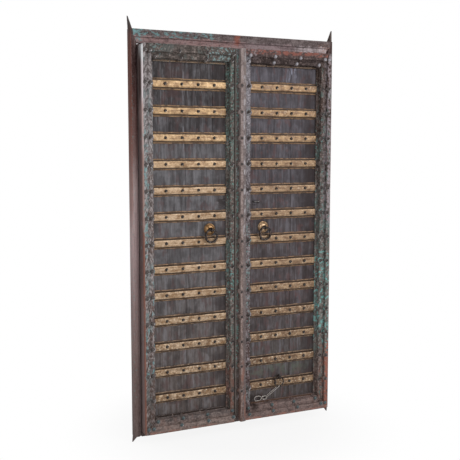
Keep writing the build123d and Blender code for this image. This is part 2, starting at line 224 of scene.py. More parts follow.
def timber(name, setting):
    # weathered, painted or carved wood; shares are those of streaks, mottling and grit
    look, shader, place = newLook(name)
    z = axis(place, "Z")
    light = setting["light"]
    dark = setting["dark"]
    streak = noise(stretched(warped(place, *woodSet["sway"]), setting["along"]), 1.0, 5.0, 0.62)
    mottle = noise(stretched(place, setting.get("drag", (1.0, 1.0, 0.5))), woodSet["mottle"], 3.0, 0.6)
    grit = noise(stretched(place, setting.get("nap", (1.0, 1.0, 1.0))), woodSet["grit"], 2.0, 0.6)
    colour = ladder(z / ladderTop, [(height / ladderTop, colour) for height, colour in setting["stops"]])
    colour = paintZones(place, colour, setting.get("under", []))
    for pattern, share in zip((streak, mottle, grit), setting.get("shares", (0.45, 0.5, 0.45))):
        colour = mixed(step(pattern, *woodSet["edge"]) * share, colour, light)
        colour = mixed(step(1 - pattern, *woodSet["edge"]) * share, colour, dark)
    height = streak * 0.4 + mottle * 0.4
    carve = setting.get("carve", 0.0)
    if carve:
        pattern = cells(warped(place, *woodSet["carveSway"]), woodSet["carve"])
        ridge = 1 - step(pattern, 0.2, 0.55)
        colour = mixed((1 - ridge) * carve, colour, dark)
        flecks = step(noise(place, woodSet["fleck"], 2.0), 0.5, 0.64) * ridge
        colour = mixed(flecks * carve * 0.55, colour, light)
        height = height + ridge * carve
    if "weave" in setting:
        # carved leaf strokes, slanting both ways from the board's middle line
        weave = setting["weave"]
        apart = abs(axis(place, "X") - weave["middle"] + (noise(place, 16.0, 2.0) - 0.5) * 0.03)
        lean = place.node("ShaderNodeCombineXYZ", {0: apart + z * weave["slant"], 2: z * weave["stretch"]})
        strokes = noise(lean, weave["scale"], 2.0, 0.5)
        colour = mixed(step(strokes, *woodSet["strokeEdge"]) * weave["share"], colour, light)
        colour = mixed(step(1 - strokes, *woodSet["strokeEdge"]) * weave["share"], colour, dark)
        colour = mixed((1 - step(apart, 0.001, 0.005)) * 0.4, colour, dark)
        height = height + strokes * 0.5
    if "broad" in setting:
        shade = step(noise(place, woodSet["broad"], 3.0), 0.48, 0.62)
        colour = mixed(shade * setting["broad"], colour, dark)
    if "tint" in setting:
        blotch = noise(stretched(place, (1.0, 1.0, 0.45)), woodSet["blotch"], 3.0, 0.6)
        blotch = step(blotch, 0.52, 0.64)
        colour = mixed(blotch * setting["tintShare"], colour, setting["tint"])
    stainsPaintedShadeAndLight = setting.get("zones", [])
    if "face" in setting:
        stainsPaintedShadeAndLight = [dict({"y": setting["face"]}, **zone) for zone in stainsPaintedShadeAndLight]
    colour = paintZones(place, colour, stainsPaintedShadeAndLight)
    plug(shader, Base_Color=colour, Roughness=mottle * 0.3 + 0.55,
         Normal=bumped(height, setting.get("relief", 0.5), woodSet["relief"]), Specular_IOR_Level=0.18)
    return look


# Looks of the frame; stops are heights in metres with the colour there
white = tone(240, 242, 244)
turquoise = tone(116, 164, 162)
upright = (70.0, 70.0, 4.0)
level = (4.0, 70.0, 70.0)
jambLook = timber("jamb_paint", {
    "stops": [(0.0, tone(110, 95, 91)), (0.3, tone(128, 107, 103)), (0.7, tone(160, 137, 135)),
              (1.0, tone(196, 171, 171)), (1.3, tone(198, 176, 175)), (1.5, tone(140, 110, 106)),
              (1.7, tone(104, 70, 65)), (1.93, tone(58, 33, 30)), (2.2, tone(84, 68, 66))],
    "along": upright, "light": tone(168, 148, 146), "dark": tone(60, 42, 40), "shares": (0.22, 0.12, 0.12),
    "zones": [
        patch((-0.60, -0.576), (0.2, 1.9), turquoise, share=0.55, grain=90.0, cut=(0.56, 0.66)),
        # painted light: a paler inner part of the jamb low down, lifting the shade in the recess beside the leaf
        patch((-0.562, -0.5), (0.0, 0.8), tone(160, 140, 138), share=0.6, soft=0.004, fade=0.1),
        patch((-0.6, -0.584), (1.15, 2.1), tone(130, 76, 62), share=0.5, soft=0.002, fade=0.1, rag=0.1),
        patch((-0.7, -0.5), (2.105, 2.3), tone(72, 65, 63), share=0.85),
        patch((0.5, 0.7), (2.105, 2.3), tone(92, 82, 78), share=0.7),
    ]})
headLook = timber("head_paint", {
    "stops": even(tone(97, 84, 83)), "along": level,
    "light": tone(142, 130, 130), "dark": tone(54, 43, 43), "drag": (0.45, 1.0, 1.0),
    "under": [
        patch((-0.62, 0.05), (2.03, 2.074), tone(176, 142, 140), soft=0.04, fade=0.005),
        patch((0.05, 0.36), (2.03, 2.074), tone(166, 144, 146), soft=0.05, fade=0.005),
        patch((0.36, 0.65), (2.03, 2.074), tone(208, 193, 195), soft=0.06, fade=0.005),
    ],
    "zones": [
        patch((0.28, 0.65), (2.03, 2.085), tone(86, 68, 68), share=0.42, grain=110.0,
              stretch=(1, 1, 0.06), cut=(0.5, 0.6), soft=0.04, fade=0.006),
        patch((-0.62, -0.1), (2.074, 2.2), tone(116, 156, 158), share=0.7, grain=95.0,
              stretch=(0.6, 1, 1), cut=(0.52, 0.62), soft=0.006),
        patch((-0.62, -0.52), (2.05, 2.2), tone(122, 166, 168), share=0.75, grain=70.0,
              cut=(0.44, 0.56), soft=0.012),
        patch((-0.016, 0.014), (2.055, 2.105), tone(152, 86, 68), share=0.65, grain=60.0,
              stretch=(1, 1, 0.3), cut=(0.36, 0.5), soft=0.006),
        patch((0.5, 0.6), (2.045, 2.085), tone(170, 122, 102), share=0.45, grain=80.0),
    ]})
sillLook = timber("sill_wood", {
    "stops": even(tone(104, 90, 86)), "along": level,
    "light": tone(130, 116, 110), "dark": tone(56, 47, 45)})

# Looks of the planks
grain = (50.0, 50.0, 2.6)
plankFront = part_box("left_middle_plank")[0].y
plankFace = (plankFront - 0.01, plankFront + 0.006)
hangingSide = patch((-0.6, -0.545), (0.0, 2.1), tone(128, 109, 106), y=(-0.1, 0.1), share=0.9)
plankSet = {"along": grain, "nap": (1.0, 1.0, 0.08), "face": plankFace, "tintShare": 0.45}
plankLooks = {
    "left": timber("left_plank_wood", dict(plankSet, **{
        "stops": [(0.0, tone(98, 88, 84)), (0.5, tone(100, 92, 90)), (0.95, tone(105, 102, 104)),
                  (1.38, tone(110, 108, 111)), (1.62, tone(72, 68, 70)), (1.8, tone(64, 60, 61)),
                  (2.2, tone(66, 60, 61))],
        "light": tone(136, 134, 139), "dark": tone(42, 37, 38), "shares": (0.42, 0.2, 0.2),
        "broad": 0.4, "tint": tone(92, 68, 67),
        "zones": [
            patch((-0.405, -0.31), (1.45, 2.0), tone(88, 64, 62), share=0.4, grain=16.0, cut=(0.4, 0.6)),
            patch((-0.3135, -0.3075), (1.1, 2.0), tone(140, 140, 146), share=0.6, grain=60.0,
                  stretch=(1, 1, 0.15), cut=(0.42, 0.56), soft=0.0015, rag=0.12),
            patch((-0.12, -0.06), (1.2, 1.26), tone(50, 44, 42), share=0.85, grain=50.0,
                  cut=(0.36, 0.5)),
            # painted shadow along the plank's edge beside the meeting stile
            patch((-0.132, -0.06), (0.1, 1.99), tone(56, 48, 48), share=0.6, grain=9.0, cut=(0.35, 0.6)),
            # painted shadow on the plank around the ring pull's boss
            patch((-0.2, -0.13), (1.055, 1.125), tone(40, 36, 36), share=0.6, soft=0.012),
            hangingSide,
        ]})),
    "right": timber("right_plank_wood", dict(plankSet, **{
        "stops": [(0.0, tone(80, 72, 69)), (0.3, tone(84, 78, 75)), (0.7, tone(80, 71, 72)),
                  (1.0, tone(82, 75, 76)), (1.38, tone(79, 74, 78)), (1.75, tone(91, 87, 93)),
                  (2.2, tone(93, 89, 97))],
        "light": tone(126, 123, 131), "dark": tone(42, 36, 37), "shares": (0.38, 0.2, 0.2),
        "broad": 0.35, "tint": tone(98, 70, 69),
        "zones": [
            patch((0.06, 0.45), (0.25, 0.36), tone(92, 98, 88), share=0.55, grain=26.0,
                  cut=(0.46, 0.58)),
            patch((0.09, 0.135), (1.208, 1.238), tone(38, 34, 36), share=0.8, grain=90.0,
                  cut=(0.4, 0.54), soft=0.006),
            patch((0.305, 0.35), (1.85, 1.985), tone(170, 172, 190), share=0.75, grain=90.0,
                  stretch=(1, 1, 0.12), cut=(0.53, 0.6)),
            # painted shadow on the plank around the ring pull's boss
            patch((0.12, 0.19), (1.055, 1.125), tone(40, 36, 36), share=0.6, soft=0.012),
            patch((0.075, 0.19), (0.085, 0.14), tone(42, 33, 30), share=0.7, grain=40.0,
                  cut=(0.36, 0.54), soft=0.012),
            # painted shade along the plank's edge beside the hanging stile
            patch((0.41, 0.49), (0.1, 1.99), tone(52, 44, 44), share=0.7, grain=9.0, cut=(0.3, 0.6)),
        ]})),
}

# Looks of the carved boards
carvedSets = {
    "left_hanging": {
        "stops": [(0.0, tone(101, 82, 76)), (0.5, tone(120, 105, 101)), (1.2, tone(146, 136, 134)),
                  (1.7, tone(160, 155, 157)), (2.2, tone(126, 114, 112))],
        "carve": 0.35, "shares": (0.3, 0.3, 0.35),
        "weave": {"middle": -0.513, "slant": 0.4, "stretch": 0.35, "scale": 115.0, "share": 0.6},
        "light": tone(184, 176, 176), "dark": tone(60, 48, 44), "tint": tone(126, 148, 150),
        "tintShare": 0.35},
    "left_meeting": {
        "stops": [(0.0, tone(130, 108, 103)), (1.0, tone(136, 117, 112)), (1.6, tone(114, 106, 101)),
                  (2.2, tone(110, 103, 97))],
        "carve": 0.5, "shares": (0.45, 0.6, 0.6), "wall": tone(96, 74, 66), "light": tone(164, 154, 148),
        "dark": tone(46, 40, 37), "tint": tone(92, 124, 118), "tintShare": 0.3},
    "left_rail": {
        "stops": [(0.0, tone(100, 90, 86)), (1.9, tone(100, 90, 86)), (2.2, tone(104, 94, 90))],
        "carve": 0.6, "light": tone(160, 146, 140), "dark": tone(52, 46, 42),
        "tint": tone(112, 124, 122), "tintShare": 0.3},
    "left_foot": {
        "stops": [(0.0, tone(142, 124, 118)), (0.062, tone(142, 124, 118)), (0.078, tone(98, 89, 88)),
                  (0.2, tone(90, 83, 83))],
        "carve": 0.18, "light": tone(156, 140, 134), "dark": tone(52, 44, 41),
        "tint": tone(136, 106, 96), "tintShare": 0.3},
    "right_foot": {
        "stops": [(0.0, tone(130, 109, 105)), (0.1, tone(122, 105, 102)), (0.2, tone(112, 98, 97))],
        "carve": 0.18, "light": tone(154, 134, 128), "dark": tone(50, 41, 38),
        "tint": tone(138, 103, 93), "tintShare": 0.3},
    "right_rail": {
        "stops": [(0.0, tone(50, 39, 37)), (1.985, tone(50, 39, 37)), (2.02, tone(116, 96, 94)),
                  (2.2, tone(116, 96, 94))],
        "carve": 0.6, "shares": (0.4, 0.4, 0.35), "light": tone(150, 132, 128), "dark": tone(46, 36, 34),
        "tint": tone(126, 112, 114), "tintShare": 0.2},
    "right_meeting": {
        "stops": [(0.0, tone(90, 62, 57)), (0.5, tone(99, 77, 72)), (1.0, tone(110, 95, 94)),
                  (1.5, tone(126, 119, 123)), (2.2, tone(170, 166, 174))],
        "carve": 0.35, "wear": 0.0046, "edge": tone(236, 234, 240), "light": tone(190, 184, 190),
        "dark": tone(50, 42, 42), "tint": tone(132, 152, 152), "tintShare": 0.3},
    "astragal": {
        "stops": [(0.0, tone(111, 86, 77)), (0.8, tone(142, 123, 117)), (1.5, tone(150, 134, 131)),
                  (2.2, tone(172, 158, 157))],
        "carve": 0.12, "edge": tone(198, 184, 182), "light": tone(176, 160, 156),
        "dark": tone(84, 70, 66)},
    "right_hanging": {
        "stops": [(0.0, tone(132, 108, 101)), (0.25, tone(132, 114, 108)), (0.6, tone(146, 145, 140)),
                  (1.2, tone(124, 116, 112)), (1.7, tone(79, 58, 50)), (2.2, tone(80, 59, 51))],
        "carve": 0.5, "light": tone(166, 152, 148), "dark": tone(50, 41, 37),
        "edge": tone(150, 138, 136), "tint": tone(104, 138, 134), "tintShare": 0.35},
}
edgeLine = [(1.93, 2.04, white), (1.72, 1.95, tone(226, 214, 216)), (1.45, 1.75, tone(196, 172, 168)),
            (1.05, 1.5, tone(168, 138, 131)), (0.02, 1.1, tone(140, 98, 86))]
sideShade = [(1.7, 2.03, tone(80, 64, 61)), (0.75, 1.7, tone(114, 94, 92)),
             (0.0, 0.75, tone(134, 116, 114))]
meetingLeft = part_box("right_meeting_stile")[0].x
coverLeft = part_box("right_astragal")[0].x
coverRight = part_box("right_astragal")[1].x
coverWide = coverRight - coverLeft
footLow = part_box("right_bottom_rail")[0].z
boardZones = {
    "left_hanging": [
        patch((-0.56, -0.5445), (low, high), colour, soft=0.0008, fade=0.03, rag=0.0)
        for low, high, colour in edgeLine] + [
        patch((-0.56, -0.547), (low, high), colour, y=(-0.0690, -0.02), soft=0.0006, fade=0.1, rag=0.0)
        for low, high, colour in sideShade] + [
        patch((-0.5445, -0.516), (0.3, 1.62), tone(124, 164, 166), share=0.6, grain=75.0,
              stretch=(1, 1, 0.5), cut=(0.52, 0.62), soft=0.004),
        patch((-0.5, -0.47), (0.35, 0.95), tone(116, 172, 178), share=0.6, grain=60.0,
              stretch=(1, 1, 0.4), cut=(0.55, 0.63), soft=0.004),
        patch((-0.52, -0.47), (0.0, 1.5), tone(112, 84, 76), share=0.35, grain=50.0, cut=(0.46, 0.6),
              soft=0.006),
        patch((-0.541, -0.47), (0.0, 0.34), tone(82, 67, 61), share=0.4, soft=0.003, fade=0.06)],
    "left_meeting": [
        patch((-0.075, -0.03), (0.7, 1.02), turquoise, share=0.75, grain=85.0, cut=(0.54, 0.62)),
        patch((-0.075, -0.03), (1.4, 2.04), tone(106, 146, 140), share=0.5, grain=85.0,
              cut=(0.54, 0.64)),
        patch((-0.075, 0.0), (0.3, 2.04), tone(120, 172, 164), share=0.7, grain=100.0, cut=(0.58, 0.65)),
        patch((-0.09, 0.0), (0.0, 0.36), tone(132, 86, 72), share=0.5, grain=45.0, stretch=(1, 1, 0.4),
              cut=(0.44, 0.58), fade=0.06)],
    "left_rail": [
        patch((-0.2, -0.03), (1.95, 2.04), tone(140, 168, 170), share=0.7, grain=80.0, cut=(0.52, 0.62)),
        patch((-0.5, -0.44), (1.98, 2.04), tone(122, 146, 146), share=0.6, grain=80.0, cut=(0.5, 0.62))],
    "right_rail": [
        patch((0.02, 0.56), (2.012, 2.045), tone(150, 92, 79), y=(-0.09, -0.075), share=0.7, grain=60.0,
              stretch=(0.6, 1, 1), cut=(0.42, 0.58), soft=0.01, fade=0.004, rag=0.4),
        patch((0.02, 0.11), (1.99, 2.04), tone(156, 140, 142), share=0.6, grain=60.0),
    ],
    "left_foot": [
        patch((-0.56, 0.0), (footLow - 0.02, footLow + 0.012), tone(160, 110, 94), share=0.5,
              grain=45.0, stretch=(0.4, 1, 1), cut=(0.42, 0.58), soft=0.004, rag=0.2)],
    "right_foot": [
        patch((0.0, 0.56), (footLow - 0.02, footLow + 0.012), tone(164, 110, 94), share=0.55,
              grain=45.0, stretch=(0.4, 1, 1), cut=(0.42, 0.58), soft=0.004, rag=0.2),
        patch((0.07, 0.11), (0.06, 0.11), tone(44, 32, 28), share=0.85, grain=50.0, cut=(0.3, 0.5))],
    "right_meeting": [
        patch((meetingLeft - 0.01, coverLeft + 0.012), (0.0, 2.1), tone(84, 74, 68), share=0.75,
              grain=50.0, cut=(0.3, 0.5), soft=0.002),
        patch((meetingLeft - 0.01, coverLeft + 0.012), (0.3, 2.1), tone(112, 160, 152), share=0.65,
              grain=85.0, cut=(0.52, 0.6), soft=0.002),
        patch((meetingLeft - 0.01, meetingLeft + 0.0006), (0.0, 2.1), tone(172, 160, 154), soft=0.0004,
              rag=0.0),
        patch((0.0, 0.08), (0.5, 1.1), turquoise, share=0.55, grain=85.0, cut=(0.54, 0.64)),
        patch((coverRight, coverRight + 0.008), (0.0, 2.05), tone(52, 45, 45), share=0.7, soft=0.002,
              rag=0.2)],
    "astragal": [
        patch((coverRight - 0.4 * coverWide, coverRight + 0.01), (0.0, 2.1), tone(96, 89, 90),
              share=0.62, soft=0.003, rag=0.3),
        patch((coverRight - 0.36 * coverWide, coverRight - 0.1 * coverWide), (1.0, 2.1),
              tone(206, 202, 206), share=0.5, grain=90.0, stretch=(1, 1, 0.3), cut=(0.48, 0.6),
              soft=0.002, rag=0.2),
        patch((-0.03, 0.03), (1.75, 2.04), tone(128, 112, 104), share=0.4, grain=40.0),
        patch((-0.03, 0.03), (0.0, 0.34), tone(150, 100, 82), share=0.5, grain=55.0,
              stretch=(1, 1, 0.2), cut=(0.46, 0.58), fade=0.08)],
    "right_hanging": [
        patch((0.528, 0.56), (0.0, 0.42), tone(164, 98, 80), share=0.75, grain=60.0, cut=(0.38, 0.54),
              soft=0.004),
        patch((0.5, 0.53), (0.0, 0.4), tone(150, 108, 94), share=0.5, grain=60.0),
        patch((0.46, 0.56), (0.38, 0.95), tone(124, 180, 176), share=0.8, grain=62.0, cut=(0.53, 0.62)),
        patch((0.46, 0.56), (0.95, 1.7), turquoise, share=0.5, grain=80.0, cut=(0.57, 0.66)),
        patch((0.52, 0.56), (1.1, 2.04), tone(166, 154, 160), share=0.7, grain=60.0, cut=(0.42, 0.58))],
}
carvedLooks = {}
for name, setting in carvedSets.items():
    lying = "rail" in name or "foot" in name
    along = level if lying else upright
    drag = (0.5, 1.0, 1.0) if lying else (1.0, 1.0, 0.4)
    paint = dict(setting, along=along, drag=drag, relief=0.8, zones=boardZones[name])
    carvedLooks[name] = timber(name + "_paint", paint)
    carvedLooks[name + "_edge"] = timber(name + "_edge", {
        "stops": even(setting.get("edge", setting["light"])), "along": along, "light": tone(206, 200, 200),
        "dark": setting["dark"], "relief": 0.3, "shares": (0.6, 0.4, 0.3), "zones": boardZones[name]})
    # a darker copy for the side walls: painted shade on the faces turned away from the front
    carvedLooks[name + "_wall"] = timber(name + "_wall", {
        "stops": even(setting.get("wall", setting["dark"])), "along": along, "light": tone(104, 92, 88),
        "dark": tone(34, 28, 26), "relief": 0.3, "zones": boardZones[name]})
print("timber looks ready")

# Looks of the metal
lowestStrap = sum(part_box(f"left_strap_{strapCount}")[end].z for end in (0, 1)) / 2
highestStrap = sum(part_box("left_strap_01")[end].z for end in (0, 1)) / 2
strapPitch = (highestStrap - lowestStrap) / (strapCount - 1)
brassSet = {
    "leaves": (-0.02, 0.02), "foot": (0.35, 0.95), "fading": (1.2, 1.75),
    "groove": (0.0172, 0.0246), "grooveEdge": 0.0009, "bead": (0.0246, 0.0256),
    "left": {"high": tone(210, 174, 128), "low": tone(200, 172, 142), "dull": tone(146, 114, 82)},
    "right": {"high": tone(174, 140, 101), "low": tone(174, 144, 113), "dull": tone(124, 96, 72)},
    "grime": tone(94, 70, 52), "glint": tone(240, 226, 204), "worn": tone(100, 75, 54),
    "grooveDirtAndShade": tone(62, 47, 39), "rib": tone(136, 104, 77), "footRib": tone(122, 100, 84),
    "crack": tone(66, 52, 45)}


def brassLook(name):
    # beaten sheet, brighter on the left leaf, dark in the groove along each edge with dirt and painted shade
    look, shader, place = newLook(name)
    z = axis(place, "Z")
    rung = (z - lowestStrap) / strapPitch
    offset = abs(rung - rung.maths("ROUND", rung)) * strapPitch
    onLeft = 1 - step(axis(place, "X"), *brassSet["leaves"])
    onFoot = 1 - step(z, *brassSet["foot"])
    onBead = step(offset, *brassSet["bead"])
    blotch = noise(stretched(place, (1.0, 1.0, 1.4)), 34.0, 4.0, 0.65)
    brushed = noise(stretched(place, (0.08, 1.0, 1.0)), 150.0, 2.0)
    speckle = noise(place, 110.0, 3.0, 0.65)
    low = 1 - step(z, *brassSet["fading"])
    bright = {side: mixed(low, brassSet[side]["high"], brassSet[side]["low"]) for side in sides}
    bright = mixed(onLeft, bright["right"], bright["left"])
    dull = mixed(onLeft, brassSet["right"]["dull"], brassSet["left"]["dull"])
    beaten = blotch * (onFoot * 0.3 + 0.6) + brushed * (0.4 - onFoot * 0.3)
    colour = mixed(step(beaten, 0.4, 0.6), dull, bright)
    colour = mixed(step(speckle, 0.52, 0.68) * (onFoot * 0.35 + 0.3), colour, brassSet["grime"])
    colour = mixed(step(1 - speckle, 0.54, 0.68) * (onFoot * 0.45 + 0.2), colour, brassSet["glint"])
    worn = step(noise(place, 40.0, 3.0), 0.48, 0.58)
    colour = mixed(worn * onFoot * 0.5, colour, brassSet["worn"])
    # the groove and the bevel beside it darkened: dirt, and painted shade
    groove = band(offset, *brassSet["groove"], brassSet["grooveEdge"])
    colour = mixed(groove * 0.88, colour, brassSet["grooveDirtAndShade"])
    colour = mixed(onBead * 0.7, colour, mixed(onFoot, brassSet["rib"], brassSet["footRib"]))
    split = step(noise(stretched(place, (1.0, 1.0, 0.2)), 28.0, 3.0), 0.47, 0.57)
    colour = mixed(split * onBead * 0.7, colour, brassSet["crack"])
    plug(shader, Base_Color=colour, Metallic=0.35, Roughness=speckle * 0.3 + 0.3,
         Normal=bumped(blotch * 0.6 + speckle * 0.4, 0.6, 0.003))
    return look


def ironLook(name, setting):
    look, shader, place = newLook(name)
    worn = noise(place, 120.0, 4.0, 0.65)
    rust = noise(place, 55.0, 3.0)
    colour = mixed(step(worn, 0.45, 0.68), setting["base"], setting["worn"])
    colour = mixed(step(rust, 0.54, 0.7) * setting.get("rustShare", 0.5), colour, tone(92, 62, 46))
    plug(shader, Base_Color=colour, Metallic=0.7, Roughness=worn * 0.35 + setting["rough"],
         Normal=bumped(worn, 0.4, 0.002))
    return look


def bossLook(name, setting):
    # polished dome, dark where the eye stands in it: the hole's own dark and a painted shadow of the eye
    look, shader, place = newLook(name)
    worn = noise(place, 70.0, 4.0, 0.65)
    apart = place.node("ShaderNodeVectorMath", {0: place, 1: setting["centre"]}, "Value",
                       operation="DISTANCE")
    colour = mixed(step(worn, 0.4, 0.65), setting["base"], setting["worn"])
    # dark disc round the eye: the hole's own dark and painted shadow of the eye bolt
    colour = mixed((1 - step(apart + (worn - 0.5) * 0.01, 0.008, 0.017)) * 0.9, colour, tone(50, 36, 26))
    colour = mixed(step(apart, setting["reach"] * 0.86, setting["reach"]) * 0.5, colour, tone(70, 50, 34))
    plug(shader, Base_Color=colour, Metallic=0.75, Roughness=worn * 0.3 + 0.16,
         Normal=bumped(worn, 0.35, 0.002))
    return look


studPlaces = {"rail": (1.94, 1.96), "rightLeaf": (0.0, 0.05), "hanging": (-0.48, -0.465),
              "cover": (-0.022, 0.006), "foot": (0.13, 0.15)}


def headLookOf(name, setting):
    # iron heads: dark at the seat, worn on the crown, a glint on the lower right
    look, shader, place = newLook(name)
    rise = place.node("ShaderNodeAttribute", {}, "Fac", attribute_name="rise")
    slant = place.node("ShaderNodeAttribute", {}, "Fac", attribute_name="slant")
    worn = noise(place, 130.0, 3.0)
    crown = mixed(step(worn, 0.42, 0.62), setting["crown"], setting["worn"])
    colour = mixed(step(rise, *setting["seat"]), setting["ring"], crown)
    glint = step(slant, 0.25, 0.65) * step(worn, *setting["cut"])
    if "pale" in setting:
        x = axis(place, "X")
        z = axis(place, "Z")
        onRail = step(z, *studPlaces["rail"]) * step(x, *studPlaces["rightLeaf"])
        onHanging = 1 - step(x, *studPlaces["hanging"])
        onCover = band(x, *studPlaces["cover"], 0.001)
        onFoot = 1 - step(z, *studPlaces["foot"])
        # on the top rail's studs the lower right is paler: a painted lit side, the upper left kept dark as painted
        # shade
        colour = mixed(onRail * step(slant, -0.9, -0.2), colour, setting["pale"])
        colour = mixed(onHanging * 0.6, colour, setting["faded"])
        colour = mixed(onFoot * step(rise, 0.3, 0.6) * 0.6, colour, setting["bloom"])
        colour = mixed(onCover * (1 - step(rise, 0.7, 0.86)), colour, setting["rim"])
        glint = glint * (1 - onCover)
    colour = mixed(glint * setting["share"], colour, setting["glint"])
    plug(shader, Base_Color=colour, Metallic=0.3, Roughness=worn * 0.3 + 0.3,
         Normal=bumped(worn, 0.4, 0.002))
    return look


strapLook = brassLook("strap_brass")
nailLook = headLookOf("nail_iron", {
    "seat": (0.1, 0.4), "ring": tone(50, 38, 32), "crown": tone(36, 31, 31), "worn": tone(66, 58, 56),
    "glint": tone(230, 214, 190), "share": 0.85, "cut": (0.42, 0.56)})
studsLook = headLookOf("stud_iron", {
    "seat": (0.55, 0.85), "ring": tone(112, 101, 98), "crown": tone(36, 30, 29), "worn": tone(74, 66, 64),
    "glint": tone(232, 230, 232), "share": 0.8, "cut": (0.44, 0.58), "pale": tone(146, 142, 148),
    "faded": tone(98, 92, 90), "rim": tone(138, 121, 117), "bloom": tone(82, 104, 108)})
ringLook = ironLook("ring_iron", {"base": tone(46, 40, 38), "worn": tone(112, 102, 98), "rough": 0.22})
# the latch's light worn colour is a painted glint on the staple
latchLook = ironLook("latch_iron", {
    "base": tone(44, 38, 37), "worn": tone(214, 210, 210), "rough": 0.3, "rustShare": 0.2})
wireLook = ironLook("link_steel", {
    "base": tone(178, 170, 164), "worn": tone(230, 226, 222), "rough": 0.3, "rustShare": 0.3})
trimLook = brassLook("trim_brass")
footTrimLooks = {
    "left": ironLook("left_foot_trim", {
        "base": tone(52, 43, 40), "worn": tone(84, 70, 62), "rough": 0.5}),
    "right": ironLook("right_foot_trim", {
        "base": tone(92, 71, 60), "worn": tone(126, 97, 78), "rough": 0.5})}
print("metal looks ready")


def alone(piece):
    # selects one piece and nothing else
    bpy.ops.object.select_all(action="DESELECT")
    piece.select_set(True)
    bpy.context.view_layer.objects.active = piece


def startEdit(piece, mode="VERT"):
    alone(piece)
    bpy.ops.object.mode_set(mode="EDIT")
    bpy.ops.mesh.select_mode(type=mode)
    bpy.ops.mesh.select_all(action="SELECT")


def endEdit():
    bpy.ops.object.mode_set(mode="OBJECT")


def faceOut():
    # turns all faces outwards and leaves edit mode
    bpy.ops.mesh.select_all(action="SELECT")
    bpy.ops.mesh.normals_make_consistent(inside=False)
    endEdit()


def drawn(move):
    # extrudes what is selected
    bpy.ops.mesh.extrude_region_move(TRANSFORM_OT_translate={"value": move})


def pick(piece, kind, test):
    # selects vertices, edges or faces of the mesh in edit mode by a test of their place
    bpy.ops.mesh.select_all(action="DESELECT")
    work = bmesh.from_edit_mesh(piece.data)
    for part in getattr(work, kind):
        if test(part):
            part.select_set(True)
    bmesh.update_edit_mesh(piece.data)


def ends(edge):
    return [vertex.co for vertex in edge.verts]


def applied(piece, kind, **settings):
    # adds a modifier and applies it
    alone(piece)
    modifier = piece.modifiers.new("shape", kind)
    for name, value in settings.items():
        setattr(modifier, name, value)
    bpy.ops.object.modifier_apply(modifier=modifier.name)


def roughened(piece, pattern, strength, middle=0.5, direction="NORMAL"):
    applied(piece, "DISPLACE", texture=pattern, texture_coords="LOCAL", direction=direction,
            strength=strength, mid_level=middle)


def smoothed(piece, angle):
    alone(piece)
    bpy.ops.object.shade_smooth_by_angle(angle=radians(angle))


def settled(piece):
    # moves the object's place and turn into its mesh
    alone(piece)
    bpy.ops.object.transform_apply(location=True, rotation=True, scale=True)


def joined(pieces):
    bpy.ops.object.select_all(action="DESELECT")
    for piece in pieces:
        piece.select_set(True)
    bpy.context.view_layer.objects.active = pieces[0]
    bpy.ops.object.join()
    return bpy.context.object


def copied(piece):
    twin = bpy.data.objects.new(piece.name, piece.data.copy())
    bpy.context.scene.collection.objects.link(twin)
    return twin


def seat(piece, name, looks, stands):
    # names a piece, dresses it and lets it stand for CAD nodes of one body
    piece.name = name
    piece.data.name = name
    piece.data.materials.clear()
    for look in looks:
        piece.data.materials.append(look)
    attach(piece, bodyOf[stands[0]])
    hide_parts(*stands)


copySet = {"merge": 0.00002, "flat": 2}


def copyNode(node):
    # a merged copy of a CAD node's mesh, its flat faces whole again
    piece = bpy.data.objects.new(node + "_copy", nodes[node].data.copy())
    bpy.context.scene.collection.objects.link(piece)
    startEdit(piece)
    bpy.ops.mesh.customdata_custom_splitnormals_clear()
    bpy.ops.mesh.remove_doubles(threshold=copySet["merge"])
    bpy.ops.mesh.dissolve_limited(angle_limit=radians(copySet["flat"]))
    bpy.ops.mesh.normals_make_consistent(inside=False)
    endEdit()
    return piece


# Carved boards and frame timbers with worn edges
boardSet = {"wear": 0.0026, "frameWear": 0.0032, "corner": 0.016, "cornerSteps": 5, "sharp": 40,
            "near": 0.001, "facing": 0.7}
boardParts = {"hanging_stile": "hanging", "hanging_strip": "hanging", "meeting_stile": "meeting",
              "top_rail": "rail", "bottom_rail": "foot"}
boardGroups = {f"{side}_{part}": f"{side}_{group}" for side in sides for part, group in boardParts.items()}
boardGroups["right_astragal"] = "astragal"
frameLooks = {"left_jamb": jambLook, "right_jamb": jambLook, "head": headLook, "sill": sillLook}
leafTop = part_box("left_hanging_strip")[1].z
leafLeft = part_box("left_hanging_strip")[0].x


def atCorner(edge):
    near = boardSet["near"]
    return all(point.x < leafLeft + near and point.z > leafTop - near for point in ends(edge))


def wornArris(edge):
    # a sharp edge that doesn't run through the frame's depth, so that the mitres stay closed
    along = ends(edge)[1] - ends(edge)[0]
    sharp = edge.calc_face_angle(0.0) > radians(boardSet["sharp"])
    return sharp and abs(along.y) < boardSet["facing"] * along.length


